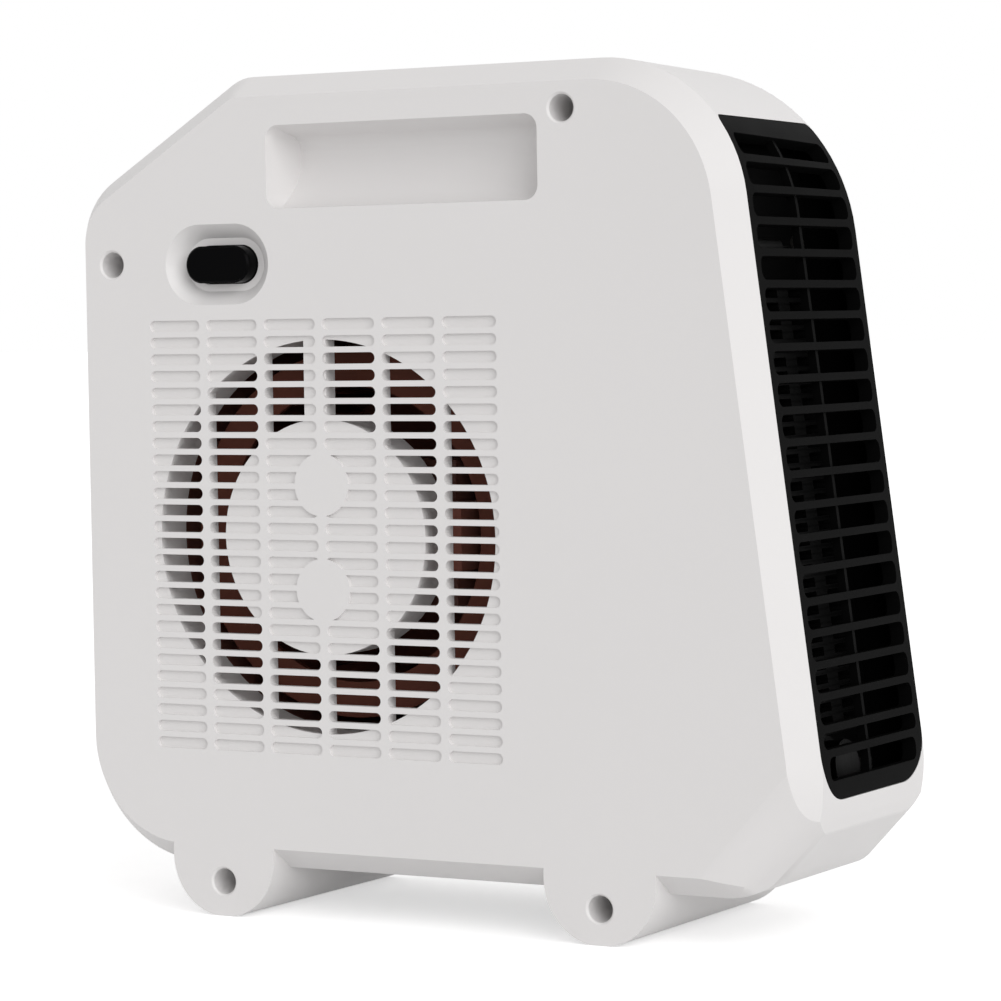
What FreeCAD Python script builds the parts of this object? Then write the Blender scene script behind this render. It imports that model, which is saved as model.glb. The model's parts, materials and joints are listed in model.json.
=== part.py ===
import FreeCAD, Part
import math
import os
import Sketcher
from FreeCAD import Placement, Rotation, Vector

# Personal space heater with a blower, a PTC heating element and one push button.
# Millimetres, +Z up. The large inlet face looks along -X and the leaning outlet along -Y.
# Places are given from the blower's axis: ahead (towards the outlet), above and in (from the inlet face).

SIZES = {
    # casing
    "body_depth": 87.0,
    "body_length": 246.0,
    "total_height": 250.0,
    "underside_height": 14.6,
    "wall": 2.5,
    "bevel": 6.5,
    "bevel_run": 9.0,
    "gap": 0.3,
    "front_lean": 7.5,
    "rear_slope_drop": 36.2,
    "rear_slope_run": 58.7,
    "rear_bottom_radius": 38.0,
    "rear_slope_low_radius": 22.0,
    "rear_slope_top_radius": 14.0,
    "top_front_radius": 45.0,
    "top_front_far_radius": 56.0,
    "chin_height": 44.5,
    "chin_radius": 46.0,
    "chin_drop": 11.3,
    "chin_tuck": 14.8,
    "chin_edge_radius": 3.0,
    "chin_slope": 47.0,
    "chin_bottom_radius": 24.0,
    "chin_side_radius": 18.0,
    "chin_side_lap": 0.15,
    "axis_from_rear": 89.7,
    "axis_height_share": 0.456,
    # feet
    "foot_radius": 18.0,
    "foot_flat_cut": 0.3,
    "rear_foot_behind": 37.1,
    "foot_spacing": 127.8,
    # casing screws
    "screw_hole_radius": 3.9,
    "screw_hole_chamfer": 0.6,
    "screw_boss_radius": 6.8,
    "screw_tunnel_end": 60.0,
    "screw_tunnel_floor": 3.0,
    "casing_screw_radius": 2.0,
    "casing_screw_length": 16.0,
    "casing_screw_head_radius": 3.6,
    "casing_screw_head_height": 2.4,
    "screw_slack": 0.25,
    "thread_slack": 0.05,
    "cover_post_radius": 5.5,
    "foot_screw_height": 10.4,
    "rear_screw_behind": 73.5,
    "rear_screw_above": 81.2,
    "front_screw_share": 0.19756,
    "front_screw_drop": 14.0,
    # inlet grid
    "slot_rows": 26,
    "slot_columns": 6,
    "slot_row_pitch": 5.0,
    "slot_column_pitch": 20.4,
    "slot_height": 3.3,
    "slot_length": 18.0,
    "groove_depth": 1.2,
    "inlet_radius": 58.0,
    "hub_cup_radius": 34.7,
    "inlet_wall": 2.0,
    "inlet_wall_end": 14.0,
    "inlet_rib_depth": 4.5,
    "motor_pad_radius": 9.25,
    "lead_bridge_width": 7.7,
    "lead_bridge_behind": 2.2,
    "lead_bridge_depth": 6.0,
    # handle recess
    "handle_share": 0.0197,
    "handle_drop": 27.3,
    "handle_width_share": 0.37195,
    "handle_height": 24.4,
    "handle_depth": 15.5,
    "handle_corner_radius": 4.2,
    "handle_ceiling_drop": 3.6,
    "handle_ceiling_radius": 5.0,
    "handle_end_draft": 2.5,
    "pocket_wall": 2.0,
    # button and its dish
    "button_behind": 35.4,
    "button_above": 80.6,
    "button_length": 22.5,
    "button_height": 11.0,
    "button_chamfer": 0.6,
    "button_travel": 2.0,
    "button_flange": 1.6,
    "button_flange_thickness": 1.5,
    "button_stem_side": 4.0,
    "dish_length": 36.7,
    "dish_height": 23.9,
    "dish_floor_margin": 2.4,
    "dish_depth": 5.0,
    # switch and board
    "switch_side": 9.0,
    "switch_height": 8.0,
    "plunger_radius": 2.0,
    "plunger_length": 6.0,
    "plunger_proud": 4.0,
    "running_slack": 0.05,
    "board_front": 24.0,
    "board_thickness": 1.6,
    "board_length": 36.0,
    "board_height": 20.0,
    "board_left_behind": 62.0,
    "board_low_above": 76.0,
    "board_screw_inset": 5.0,
    "board_boss_radius": 3.0,
    "small_screw_radius": 1.5,
    "small_screw_head_radius": 2.8,
    "small_screw_head_height": 1.8,
    "small_screw_length": 9.0,
    # blower
    "wheel_radius": 54.5,
    "wheel_inner_radius": 44.0,
    "wheel_start": 17.0,
    "wheel_ring_thickness": 2.0,
    "wheel_back_room": 17.0,
    "wheel_disc_thickness": 2.0,
    "wheel_hub_radius": 7.0,
    "wheel_hub_reach": 12.0,
    "wheel_hub_proud": 4.0,
    "blade_count": 40,
    "blade_start": 41.2,
    "blade_width": 9.3,
    "blade_offset": 17.0,
    "blade_thickness": 1.2,
    "shaft_radius": 2.5,
    "shaft_start": 9.0,
    "shaft_proud": 4.5,
    "shaft_slack": 0.03,
    "wheel_nut_flats": 8.0,
    "wheel_nut_height": 3.5,
    # motor
    "motor_bolt_offset": 15.5,
    "motor_bolt_radius": 1.5,
    "motor_bolt_length": 40.0,
    "motor_boss_radius": 5.0,
    "core_start": 20.0,
    "core_thickness": 18.0,
    "core_half_height": 22.0,
    "core_back": 19.0,
    "core_leg_start": 27.0,
    "core_leg_end": 34.0,
    "core_window_half_height": 14.0,
    "core_bore_radius": 13.0,
    "rotor_radius": 12.6,
    "rotor_inset": 0.5,
    "coil_half_height": 10.0,
    "coil_start": 20.5,
    "coil_end": 38.5,
    "coil_overhang": 5.0,
    "bracket_half_height": 21.0,
    "bracket_half_width": 7.0,
    "bracket_thickness": 1.5,
    "bracket_front": 12.0,
    "bracket_rear_spacer": 5.5,
    "spacer_radius": 3.6,
    "bush_radius": 5.0,
    "bush_length": 6.0,
    # scroll duct
    "duct_wall": 1.8,
    "duct_plate_thickness": 2.0,
    "duct_plate_stand": 2.3,
    "scroll_radius": 62.0,
    "scroll_growth": 4.0,
    "scroll_tongue_angle": 20.0,
    "duct_ear_radius": 5.0,
    "duct_ear_offset": 4.0,
    "duct_boss_radius": 4.0,
    # heater
    "frame_bottom_gap": 26.12,
    "frame_top_gap": 42.7,
    "frame_depth": 16.0,
    "frame_thickness": 14.0,
    "frame_side_gap": 8.5,
    "frame_border": 6.0,
    "frame_end": 18.0,
    "frame_lip": 1.0,
    "frame_guard_drop": 17.0,
    "frame_guard_thickness": 2.0,
    "ptc_bar_count": 3,
    "ptc_bar_width": 5.0,
    "ptc_bar_end": 4.0,
    "fin_pitch": 4.0,
    "fin_slot": 2.6,
    "fin_edge": 1.2,
    "duct_end_margin": 2.0,
    "duct_flange_inset": 2.0,
    "duct_flange_thickness": 3.0,
    "heater_screw_inset": 8.0,
    "heater_screw_side": 9.0,
    "heater_screw_length": 16.0,
    "terminal_width": 6.3,
    "terminal_thickness": 0.8,
    "terminal_proud": 12.0,
    "thermostat_radius": 8.0,
    "thermostat_height": 6.0,
    "thermostat_flange_radius": 9.5,
    "thermostat_flange_thickness": 1.5,
    "fuse_radius": 2.2,
    "fuse_length": 16.0,
    # cord entry
    "gland_above": -45.0,
    "gland_radius": 6.5,
    "gland_bore_radius": 3.6,
    "gland_flange_radius": 9.0,
    "gland_flange_thickness": 3.0,
    "gland_tail": 6.0,
    "block_ahead": 66.0,
    "block_above": -70.0,
    "block_length": 32.0,
    "block_height": 16.0,
    "block_thickness": 14.0,
    "block_boss_height": 4.0,
    "block_pole_radius": 3.0,
    "block_pole_depth": 9.0,
    # outlet grille
    "panel_bottom": 42.2,
    "panel_top_drop": 17.2,
    "panel_top_radius": 2.5,
    "panel_bottom_radius": 14.0,
    "panel_gap": 0.25,
    "panel_thickness": 4.3,
    "panel_flange": 3.5,
    "panel_flange_inset": 3.0,
    "outlet_slots": 21,
    "outlet_low_margin": 4.8,
    "outlet_bar": 2.2,
    "outlet_first_bar": 14.9,
    "outlet_side_margin": 3.0,
    "outlet_slot_radius": 2.4,
    "outlet_narrow_drop": 2.1,
    "outlet_rib_width": 1.6,
    "outlet_rib_recess": 1.4,
    "outlet_rib_depth": 2.4,
}


# Sizes and expressions

class Size:
    """A number together with the sheet expression that gives it."""

    def __init__(self, value, text):
        self.value = float(value)
        self.text = text

    def __float__(self):
        return self.value

    def __neg__(self):
        return Size(-self.value, "(0 - %s)" % self.text)

    def __add__(self, other):
        return joined(self, "+", other, self.value + float(other))

    def __radd__(self, other):
        return joined(other, "+", self, float(other) + self.value)

    def __sub__(self, other):
        return joined(self, "-", other, self.value - float(other))

    def __rsub__(self, other):
        return joined(other, "-", self, float(other) - self.value)

    def __mul__(self, other):
        return joined(self, "*", other, self.value * float(other))

    def __rmul__(self, other):
        return joined(other, "*", self, float(other) * self.value)

    def __truediv__(self, other):
        return joined(self, "/", other, self.value / float(other))


def text_of(value):
    if isinstance(value, Size):
        return value.text
    return "%.9g" % value


def joined(first, sign, second, value):
    return Size(value, "(%s %s %s)" % (text_of(first), sign, text_of(second)))


def sin_of(angle):
    return Size(math.sin(math.radians(float(angle))), "sin(%s * 1 deg)" % text_of(angle))


def cos_of(angle):
    return Size(math.cos(math.radians(float(angle))), "cos(%s * 1 deg)" % text_of(angle))


def tan_of(angle):
    return Size(math.tan(math.radians(float(angle))), "tan(%s * 1 deg)" % text_of(angle))


def slant_of(run, rise):
    """Length of a slope with a run and a rise."""
    text = "sqrt(%s * %s + %s * %s)" % (text_of(run), text_of(run), text_of(rise), text_of(rise))
    return Size(math.hypot(float(run), float(rise)), text)


class Sheet:
    """The driving dimensions, each a cell with its own alias."""

    def __init__(self, doc, sizes):
        cells = doc.addObject("Spreadsheet::Sheet", "dims")
        for row, (name, value) in enumerate(sizes.items(), start=1):
            cells.set("A%d" % row, name)
            cells.set("B%d" % row, "%.9g" % value)
            cells.setAlias("B%d" % row, name)
            setattr(self, name, Size(value, "dims.%s" % name))
        doc.recompute()


doc = FreeCAD.newDocument("space_heater")
S = Sheet(doc, SIZES)
NODES = []


# Frame: places measured from the blower's axis and the inlet face

axis_y = S.body_length / 2 - S.axis_from_rear
axis_z = S.total_height * S.axis_height_share
half_depth = S.body_depth / 2


def in_from_face(distance):
    return distance - half_depth


def ahead(distance):
    return axis_y - distance


def above(distance):
    return axis_z + distance


face_x = -half_depth
near_edge_x = face_x + S.bevel_run
parting_x = half_depth - S.bevel_run
cover_inner_x = half_depth - S.wall


# Building helpers

def bind(obj, prop, size):
    obj.setExpression(prop, text_of(size))


def place(obj, x, y, z, rotation=None):
    if rotation is not None:
        obj.Placement = Placement(Vector(0, 0, 0), rotation)
    for name, size in (("x", x), ("y", y), ("z", z)):
        bind(obj, "Placement.Base.%s" % name, size)
    return obj


TOWARDS_X = Rotation(Vector(0, 1, 0), 90)
AWAY_FROM_X = Rotation(Vector(0, 1, 0), -90)
TOWARDS_REAR = Rotation(Vector(1, 0, 0), -90)


def box(name, x, y, z, dx, dy, dz):
    obj = doc.addObject("Part::Box", name)
    bind(obj, "Length", dx)
    bind(obj, "Width", dy)
    bind(obj, "Height", dz)
    return place(obj, x, y, z)


def cylinder(name, radius, length, x, y, z, rotation=TOWARDS_X):
    obj = doc.addObject("Part::Cylinder", name)
    bind(obj, "Radius", radius)
    bind(obj, "Height", length)
    return place(obj, x, y, z, rotation)


def cone(name, radius_start, radius_end, length, x, y, z, rotation=TOWARDS_X):
    obj = doc.addObject("Part::Cone", name)
    bind(obj, "Radius1", radius_start)
    bind(obj, "Radius2", radius_end)
    bind(obj, "Height", length)
    return place(obj, x, y, z, rotation)


def shape(name, geometry):
    obj = doc.addObject("Part::Feature", name)
    obj.Shape = geometry
    return obj


def fused(name, pieces):
    obj = doc.addObject("Part::MultiFuse", name)
    obj.Shapes = pieces
    return obj


def cut(name, base, tool):
    obj = doc.addObject("Part::Cut", name)
    obj.Base = base
    obj.Tool = tool
    return obj


def common(name, first, second):
    obj = doc.addObject("Part::Common", name)
    obj.Base = first
    obj.Tool = second
    return obj


def group(name, pieces):
    obj = doc.addObject("Part::Compound", name)
    obj.Links = pieces
    return obj


def extruded(name, wire, direction, length):
    profile = shape(name + "_outline", wire)
    obj = doc.addObject("Part::Extrusion", name)
    obj.Base = profile
    obj.DirMode = "Custom"
    obj.Dir = direction
    bind(obj, "LengthFwd", length)
    obj.Solid = True
    return obj


def lofted(name, wires):
    obj = doc.addObject("Part::Loft", name)
    obj.Sections = [shape("%s_section_%d" % (name, i), wire) for i, wire in enumerate(wires)]
    obj.Solid = True
    obj.Ruled = True
    return obj


def node(obj, label):
    obj.Label = label
    NODES.append(obj)
    return obj


# Outlines: closed wires with rounded corners

def rounded_loop(corners):
    """Closed wire through (point, radius) corners, each rounded by an arc."""
    spans = []
    for i, (corner, radius) in enumerate(corners):
        before = corners[i - 1][0]
        after = corners[(i + 1) % len(corners)][0]
        arriving = (corner - before).normalize()
        leaving = (after - corner).normalize()
        turn = arriving.getAngle(leaving)
        trim = radius * math.tan(turn / 2)
        inward = (leaving - arriving).normalize()
        middle = corner + inward * (radius / math.cos(turn / 2) - radius)
        spans.append((corner - arriving * trim, middle, corner + leaving * trim))
    edges = []
    for i, (start, middle, end) in enumerate(spans):
        edges.append(Part.Arc(start, middle, end).toShape())
        following = spans[(i + 1) % len(spans)][0]
        if end.distanceToPoint(following) > 1e-5:
            edges.append(Part.LineSegment(end, following).toShape())
    return Part.Wire(edges)


def inset(corners, distance):
    """The outline (a, b, radius) moved inwards by a distance, outwards if it is negative."""
    points = [(float(a), float(b)) for a, b, radius in corners]
    count = len(points)
    area = sum(points[i - 1][0] * points[i][1] - points[i][0] * points[i - 1][1] for i in range(count))
    side = math.copysign(1.0, area)
    moved = []
    for i in range(count):
        a0, b0 = points[i - 1]
        a1, b1 = points[i]
        a2, b2 = points[(i + 1) % count]
        length_in = math.hypot(a1 - a0, b1 - b0)
        length_out = math.hypot(a2 - a1, b2 - b1)
        in_a, in_b = (a1 - a0) / length_in, (b1 - b0) / length_in
        out_a, out_b = (a2 - a1) / length_out, (b2 - b1) / length_out
        scale = side * float(distance) / (in_a * out_b - in_b * out_a)
        radius = max(float(corners[i][2]) - float(distance), 0.5)
        moved.append((a1 + scale * (out_a - in_a), b1 + scale * (out_b - in_b), radius))
    return moved


def loop_at_x(x, corners):
    return rounded_loop([(Vector(float(x), float(y), float(z)), float(r)) for y, z, r in corners])


def loop_at_y(y, corners):
    return rounded_loop([(Vector(float(x), float(y), float(z)), float(r)) for x, z, r in corners])


def pill(y, z, length, height):
    """Corners of a pill that lies along Y, centred on (y, z)."""
    y, z, a, b = float(y), float(z), float(length) / 2, float(height) / 2
    return [(y - a, z - b, b), (y + a, z - b, b), (y + a, z + b, b), (y - a, z + b, b)]


def rectangle(a, b, width, height, radius):
    """Corners of a rounded rectangle centred on (a, b)."""
    a, b, p, q = float(a), float(b), float(width) / 2, float(height) / 2
    return [(a - p, b - q, radius), (a + p, b - q, radius), (a + p, b + q, radius), (a - p, b + q, radius)]


# Casing outline in the YZ plane, from the rear bottom corner round over the top

chin_trim = S.chin_radius * tan_of((S.front_lean + S.chin_tuck) / 2)
chin_y = -(S.body_length / 2 + chin_trim * sin_of(S.front_lean) - S.chin_radius * (1 - cos_of(S.front_lean)))
chin_edge_y = chin_y + S.chin_drop * tan_of(S.chin_tuck)
chin_edge_z = S.chin_height - S.chin_drop
chin_bottom_y = chin_edge_y + (chin_edge_z - S.underside_height) / tan_of(S.chin_slope)


def front_y(z):
    """Y of the leaning front at a height."""
    return chin_y + (z - S.chin_height) * tan_of(S.front_lean)


outline = [
    (S.body_length / 2, S.underside_height, S.rear_bottom_radius),
    (S.body_length / 2, S.total_height - S.rear_slope_drop, S.rear_slope_low_radius),
    (S.body_length / 2 - S.rear_slope_run, S.total_height, S.rear_slope_top_radius),
    (front_y(S.total_height), S.total_height, S.top_front_radius),
    (chin_y, S.chin_height, S.chin_radius),
    (chin_edge_y, chin_edge_z, S.chin_edge_radius),
    (chin_bottom_y, S.underside_height, S.chin_bottom_radius),
]


def outline_at(x):
    """The outline at a place across the depth: its top front corner is rounder towards the far side."""
    share = (float(x) - float(near_edge_x)) / float(parting_x - near_edge_x)
    radius = float(S.top_front_radius) + share * float(S.top_front_far_radius - S.top_front_radius)
    return outline[:3] + [(outline[3][0], outline[3][1], radius)] + outline[4:]


# The bevel keeps the wall's thickness inside, so the hollow's bevel starts deeper and ends further in.
far_outline = outline_at(parting_x)
bevel_slant = slant_of(S.bevel_run, S.bevel)
hollow_face_inset = S.bevel + S.wall * (bevel_slant - S.bevel) / S.bevel_run
hollow_bevel_end = S.bevel_run + S.wall * (bevel_slant - S.bevel_run) / S.bevel

TO_FAR_SIDE = Vector(1, 0, 0)

# Places of the feet and of the casing screws

foot_z = S.foot_radius - S.foot_flat_cut
foot_places = {
    "rear": ahead(-S.rear_foot_behind),
    "front": ahead(S.foot_spacing - S.rear_foot_behind),
}
screw_places = {
    "rear": (ahead(-S.rear_screw_behind), above(S.rear_screw_above)),
    "front": (-S.body_length * S.front_screw_share, S.total_height - S.front_screw_drop),
    "rear_foot": (foot_places["rear"], S.foot_screw_height),
    "front_foot": (foot_places["front"], S.foot_screw_height),
}


def foot(name, y, start_x, length, shrink):
    """U-shaped bar for a foot, or with a shrink the hollow inside it."""
    radius = S.foot_radius - shrink
    top_z = S.underside_height + S.bevel
    bar = cylinder(name + "_bar", radius, length, start_x, y, foot_z)
    block = box(name + "_block", start_x, y - radius, foot_z, length, 2 * radius, top_z - foot_z)
    return fused(name, [bar, block])


def flat_cut(name):
    """Slab that flattens the feet at floor level."""
    slab_y = -S.body_length / 2
    return box(name, face_x - 1, slab_y, -S.foot_radius, S.body_depth + 2, S.body_length, S.foot_radius)


def tilted(obj, angle, y, z):
    """Turn an upright object about X by an angle, its origin at a place in the YZ plane."""
    obj.Placement = Placement(Vector(0, 0, 0), Rotation(Vector(-1, 0, 0), float(angle)))
    bind(obj, "Placement.Rotation.Angle", Size(float(angle), "(%s * 1 deg)" % text_of(angle)))
    bind(obj, "Placement.Base.y", y)
    bind(obj, "Placement.Base.z", z)
    return obj


def chin_corner(name, side, shrink):
    """What a soft corner takes off between a side and the chin's slope, or with a shrink off the hollow.

    Upright: the slope lies in the XY plane, its lower end towards +Y. The round laps both planes a little.
    """
    radius = S.chin_side_radius
    centre = radius - S.chin_side_lap
    length = 5 * radius
    centre_x = side * (half_depth - centre)
    start_x = centre_x if side > 0 else -half_depth - radius
    block = box(name + "_block", start_x, -length / 2, -radius, centre + radius, length, centre + radius)
    bar = cylinder(
        name + "_bar", radius - shrink, length + 2, centre_x, -length / 2 - 1, centre, TOWARDS_REAR,
    )
    return tilted(cut(name, block, bar), S.chin_slope, chin_edge_y, chin_edge_z)


# Main housing: adds first, then every cut

face_outline = inset(outline, S.bevel)
near_bevel = lofted("near_bevel", [loop_at_x(face_x, face_outline), loop_at_x(near_edge_x, outline)])
sleeve = lofted("sleeve", [loop_at_x(near_edge_x, outline), loop_at_x(parting_x, far_outline)])
housing_body = cut(
    "housing_body",
    fused("housing_plain", [near_bevel, sleeve]),
    fused("housing_corners", [chin_corner("near_corner", -1, 0), chin_corner("far_corner", 1, 0)]),
)
housing_feet = [
    foot("housing_foot_" + name, y, face_x, S.body_depth - S.bevel_run, 0)
    for name, y in foot_places.items()
]
housing_block = cut(
    "housing_block",
    fused("housing_outside", [housing_body] + housing_feet),
    flat_cut("housing_flat"),
)

hollow_bevel_x = face_x + hollow_bevel_end
hollow_far_x = parting_x + 1
hollow_near_loop = loop_at_x(hollow_bevel_x, inset(outline_at(hollow_bevel_x), S.wall))
hollow_far_loop = loop_at_x(hollow_far_x, inset(outline_at(hollow_far_x), S.wall))
hollow_bevel = lofted(
    "hollow_bevel", [loop_at_x(face_x + S.wall, inset(outline, hollow_face_inset)), hollow_near_loop],
)
hollow_sleeve = lofted("hollow_sleeve", [hollow_near_loop, hollow_far_loop])
hollow_body = cut(
    "hollow_body",
    fused("hollow_plain", [hollow_bevel, hollow_sleeve]),
    fused("hollow_corners", [
        chin_corner("near_hollow_corner", -1, S.wall), chin_corner("far_hollow_corner", 1, S.wall),
    ]),
)
foot_hollow_length = S.body_depth - S.bevel_run - S.wall + 1
foot_hollows = [
    foot("housing_hollow_" + name, y, face_x + S.wall, foot_hollow_length, S.wall)
    for name, y in foot_places.items()
]
housing_shell = cut(
    "housing_shell", housing_block, fused("housing_cavity", [hollow_body] + foot_hollows),
)

# Inside of the housing: screw tunnels, inlet ring and cup, ribs, motor and board bosses

inside_x = face_x + S.wall / 2
tunnel_length = S.screw_tunnel_end - S.wall / 2
adds = [housing_shell]
for name, (y, z) in screw_places.items():
    adds.append(cylinder("tunnel_" + name, S.screw_boss_radius, tunnel_length, inside_x, y, z))

inlet_depth = S.inlet_wall_end - S.wall / 2


def tube(name, radius_out, radius_in, start_x, length):
    outer = cylinder(name + "_outer", radius_out, length, start_x, axis_y, axis_z)
    inner = cylinder(name + "_inner", radius_in, length + 2, start_x - 1, axis_y, axis_z)
    return cut(name, outer, inner)


adds.append(tube("inlet_ring", S.inlet_radius + S.inlet_wall, S.inlet_radius, inside_x, inlet_depth))
adds.append(tube("hub_cup", S.hub_cup_radius, S.hub_cup_radius - S.inlet_wall, inside_x, inlet_depth))

rib_width = S.slot_column_pitch - S.slot_length
rib_length = 2 * S.inlet_radius
ribs = []
for i in range(1, int(SIZES["slot_columns"])):
    rib_y = axis_y + S.slot_column_pitch * (i - S.slot_columns / 2) - rib_width / 2
    ribs.append(box(
        "rib_%d" % i, inside_x, rib_y, axis_z - S.inlet_radius,
        S.inlet_rib_depth - S.wall / 2, rib_width, rib_length,
    ))
rib_zone = tube("rib_zone", S.inlet_radius + 0.5, S.hub_cup_radius - 0.5, inside_x, S.inlet_rib_depth)
adds.append(common("inlet_ribs", fused("rib_bars", ribs), rib_zone))

bridge_y = ahead(-S.lead_bridge_behind) - S.lead_bridge_width / 2
bridge_rise = S.inlet_radius - S.hub_cup_radius + 2
adds.append(box(
    "lead_bridge", inside_x, bridge_y, axis_z + S.hub_cup_radius - 1,
    S.lead_bridge_depth - S.wall / 2, S.lead_bridge_width, bridge_rise,
))

motor_bolt_places = [above(S.motor_bolt_offset), above(-S.motor_bolt_offset)]
for i, z in enumerate(motor_bolt_places):
    adds.append(cylinder(
        "motor_boss_%d" % i, S.motor_boss_radius, S.bracket_front - S.wall / 2, inside_x, axis_y, z,
    ))

board_places = [
    (ahead(S.board_screw_inset - S.board_left_behind), above(S.board_low_above + S.board_height - 5)),
    (ahead(S.board_length - S.board_screw_inset - S.board_left_behind),
     above(S.board_low_above + S.board_height - 5)),
]
for i, (y, z) in enumerate(board_places):
    adds.append(cylinder(
        "board_boss_%d" % i, S.board_boss_radius, S.board_front - S.wall / 2, inside_x, y, z,
    ))

# Button dish: a pill-shaped funnel with a flat floor

button_y = ahead(-S.button_behind)
button_z = above(S.button_above)
dish_floor_length = S.button_length + 2 * S.dish_floor_margin
dish_floor_height = S.button_height + 2 * S.dish_floor_margin


def dish(name, start, end, grow):
    """Funnel between two depths from the face, grown by a wall."""
    slope = (S.dish_length - dish_floor_length) / S.dish_depth
    slope_up = (S.dish_height - dish_floor_height) / S.dish_depth
    wires = []
    for depth in (start, end):
        length = S.dish_length - slope * depth + 2 * grow
        height = S.dish_height - slope_up * depth + 2 * grow
        wires.append(loop_at_x(face_x + depth, pill(button_y, button_z, length, height)))
    return lofted(name, wires)


adds.append(dish("dish_shell", S.wall / 2, S.dish_depth + S.pocket_wall, S.pocket_wall + 0.4))

# Handle recess: a scoop with a sloping ceiling

handle_y = S.body_length * S.handle_share
handle_width = S.body_length * S.handle_width_share
handle_z = S.total_height - S.handle_drop


def scoop(name, start, grow):
    """The recess from a depth inwards, grown by a wall."""
    top_z = handle_z + S.handle_height / 2
    low_z = handle_z - S.handle_height / 2
    back_x = face_x + S.handle_depth
    section = [
        (face_x - S.handle_depth, low_z, 0.5),
        (back_x, low_z, S.handle_depth - 0.2),
        (back_x, top_z - S.handle_ceiling_drop, S.handle_ceiling_radius),
        (face_x, top_z, 0.05),
        (face_x - S.handle_depth, top_z, 0.5),
    ]
    if grow > 0:
        section = inset(section, -grow)
    half_width = handle_width / 2 + grow
    length = 2 * half_width
    bar = extruded(name + "_bar", loop_at_y(handle_y - half_width, section), Vector(0, 1, 0), length)
    wires = []
    for depth in (start, S.handle_depth + S.wall):
        draft = S.handle_end_draft * depth / S.handle_depth
        width = handle_width - 2 * draft + 2 * grow
        height = S.handle_height + 2 * grow
        corner = S.handle_corner_radius + grow
        wires.append(loop_at_x(face_x + depth, rectangle(handle_y, handle_z, width, height, corner)))
    return common(name, bar, lofted(name + "_mouth", wires))


adds.append(scoop("handle_shell", S.wall / 2, float(S.pocket_wall)))
housing_filled = fused("housing_filled", adds)

# Cuts through the housing

cuts = [
    dish("dish_cut", -1.0, S.dish_depth, 0),
    scoop("handle_cut", -1.0, 0),
]
button_hole_pill = pill(button_y, button_z, S.button_length + 2 * S.gap, S.button_height + 2 * S.gap)
cuts.append(extruded("button_hole", loop_at_x(face_x, button_hole_pill), TO_FAR_SIDE, S.dish_depth + 5))
for name, (y, z) in screw_places.items():
    hole_end = S.screw_tunnel_end - S.screw_tunnel_floor
    wide = S.screw_hole_radius + S.screw_hole_chamfer
    cuts.append(cylinder("screw_hole_" + name, S.screw_hole_radius, hole_end, face_x, y, z))
    cuts.append(cone("screw_chamfer_" + name, wide, S.screw_hole_radius, S.screw_hole_chamfer, face_x, y, z))
    cuts.append(cylinder(
        "screw_pass_" + name, S.casing_screw_radius + S.screw_slack, S.screw_tunnel_end + 1, face_x, y, z,
    ))
bolt_thread_end = S.bracket_front - 1.5
for i, z in enumerate(motor_bolt_places):
    cuts.append(cylinder(
        "motor_thread_%d" % i, S.motor_bolt_radius + S.thread_slack, bolt_thread_end,
        in_from_face(S.bracket_front) - bolt_thread_end + 1, axis_y, z,
    ))
board_thread_depth = S.small_screw_length + 1
for i, (y, z) in enumerate(board_places):
    cuts.append(cylinder(
        "board_thread_%d" % i, S.small_screw_radius + S.thread_slack, board_thread_depth,
        in_from_face(S.board_front) - board_thread_depth + 0.5, y, z,
    ))

gland_z = above(S.gland_above)
cuts.append(cylinder(
    "gland_hole", S.gland_radius + S.gap, 2 * S.wall,
    0, S.body_length / 2 - 1.5 * S.wall, gland_z, TOWARDS_REAR,
))

# Outlet notch: the panel's outline pushed through the front wall

panel_half_width = half_depth - S.bevel_run
panel_top = S.total_height - S.panel_top_drop
notch_start_y = -S.body_length / 2 - 5
notch_length = front_y(panel_top) + S.top_front_far_radius / 3 - notch_start_y


def panel_outline(half_width, bottom, top, top_radius, bottom_radius):
    return [
        (-half_width, bottom, bottom_radius),
        (half_width, bottom, bottom_radius),
        (half_width, top, top_radius),
        (-half_width, top, top_radius),
    ]


notch_outline = panel_outline(
    panel_half_width, S.panel_bottom, panel_top, S.panel_top_radius, S.panel_bottom_radius,
)
cuts.append(extruded(
    "outlet_notch", loop_at_y(notch_start_y, notch_outline), Vector(0, 1, 0), notch_length,
))

# Inlet grid: blind grooves over the whole field, open slots inside the ring


def grid_slots(start, end):
    """Every slot of the grid as a pill-shaped bar between two depths from the face."""
    bars = []
    rows = int(SIZES["slot_rows"])
    columns = int(SIZES["slot_columns"])
    for row in range(rows):
        for column in range(columns):
            y = float(axis_y) + float(S.slot_column_pitch) * (column - (columns - 1) / 2)
            z = float(axis_z) + float(S.slot_row_pitch) * (row - (rows - 1) / 2)
            wire = loop_at_x(face_x + start, pill(y, z, S.slot_length, S.slot_height))
            bars.append(Part.Face(wire).extrude(Vector(float(end) - float(start), 0, 0)))
    return Part.makeCompound(bars)


pads = fused("motor_pads", [
    cylinder("motor_pad_%d" % i, S.motor_pad_radius, S.groove_depth + 2, face_x - 1, axis_y, z)
    for i, z in enumerate(motor_bolt_places)
])
grooves = cut("grooves", shape("groove_bars", grid_slots(-0.5, S.groove_depth)), pads)
open_zone = cut(
    "open_zone",
    tube("open_ring", S.inlet_radius, S.hub_cup_radius, face_x + S.groove_depth / 2, S.inlet_rib_depth + 2),
    box("bridge_keep", face_x, bridge_y, axis_z,
        S.inlet_rib_depth + 4, S.lead_bridge_width, 2 * S.inlet_radius),
)
open_slots = common("open_slots", shape("slot_bars", grid_slots(0.2, S.inlet_rib_depth)), open_zone)

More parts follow.
